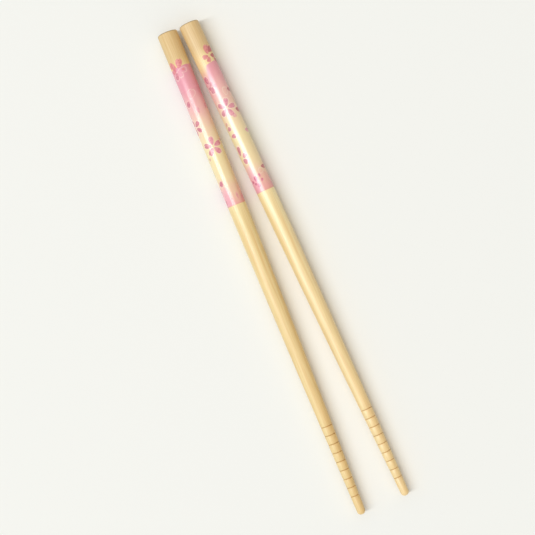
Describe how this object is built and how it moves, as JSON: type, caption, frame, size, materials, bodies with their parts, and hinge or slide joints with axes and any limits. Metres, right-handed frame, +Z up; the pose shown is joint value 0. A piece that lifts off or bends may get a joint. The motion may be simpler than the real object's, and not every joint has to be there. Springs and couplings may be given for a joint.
{
  "type": "pair of wooden chopsticks",
  "caption": "Round tapered wooden chopsticks for eating, lying side by side, with ring grooves near the tips and a blossom print round the handles.",
  "frame": {"origin": "on the table under the middle of the pair's length, halfway between the sticks", "axes": "+X along the pair from the butt ends towards the tips, +Z up, left stick at -Y and right stick at +Y"},
  "size_m": [0.2251, 0.0244, 0.0088],
  "materials": {
    "wood": "clear satin lacquer over pale wood, with a glossy transfer print on the handle"
  },
  "bodies": {
    "root": {"left_chopstick": "wood", "right_chopstick": "wood"}
  },
  "joints": []
}
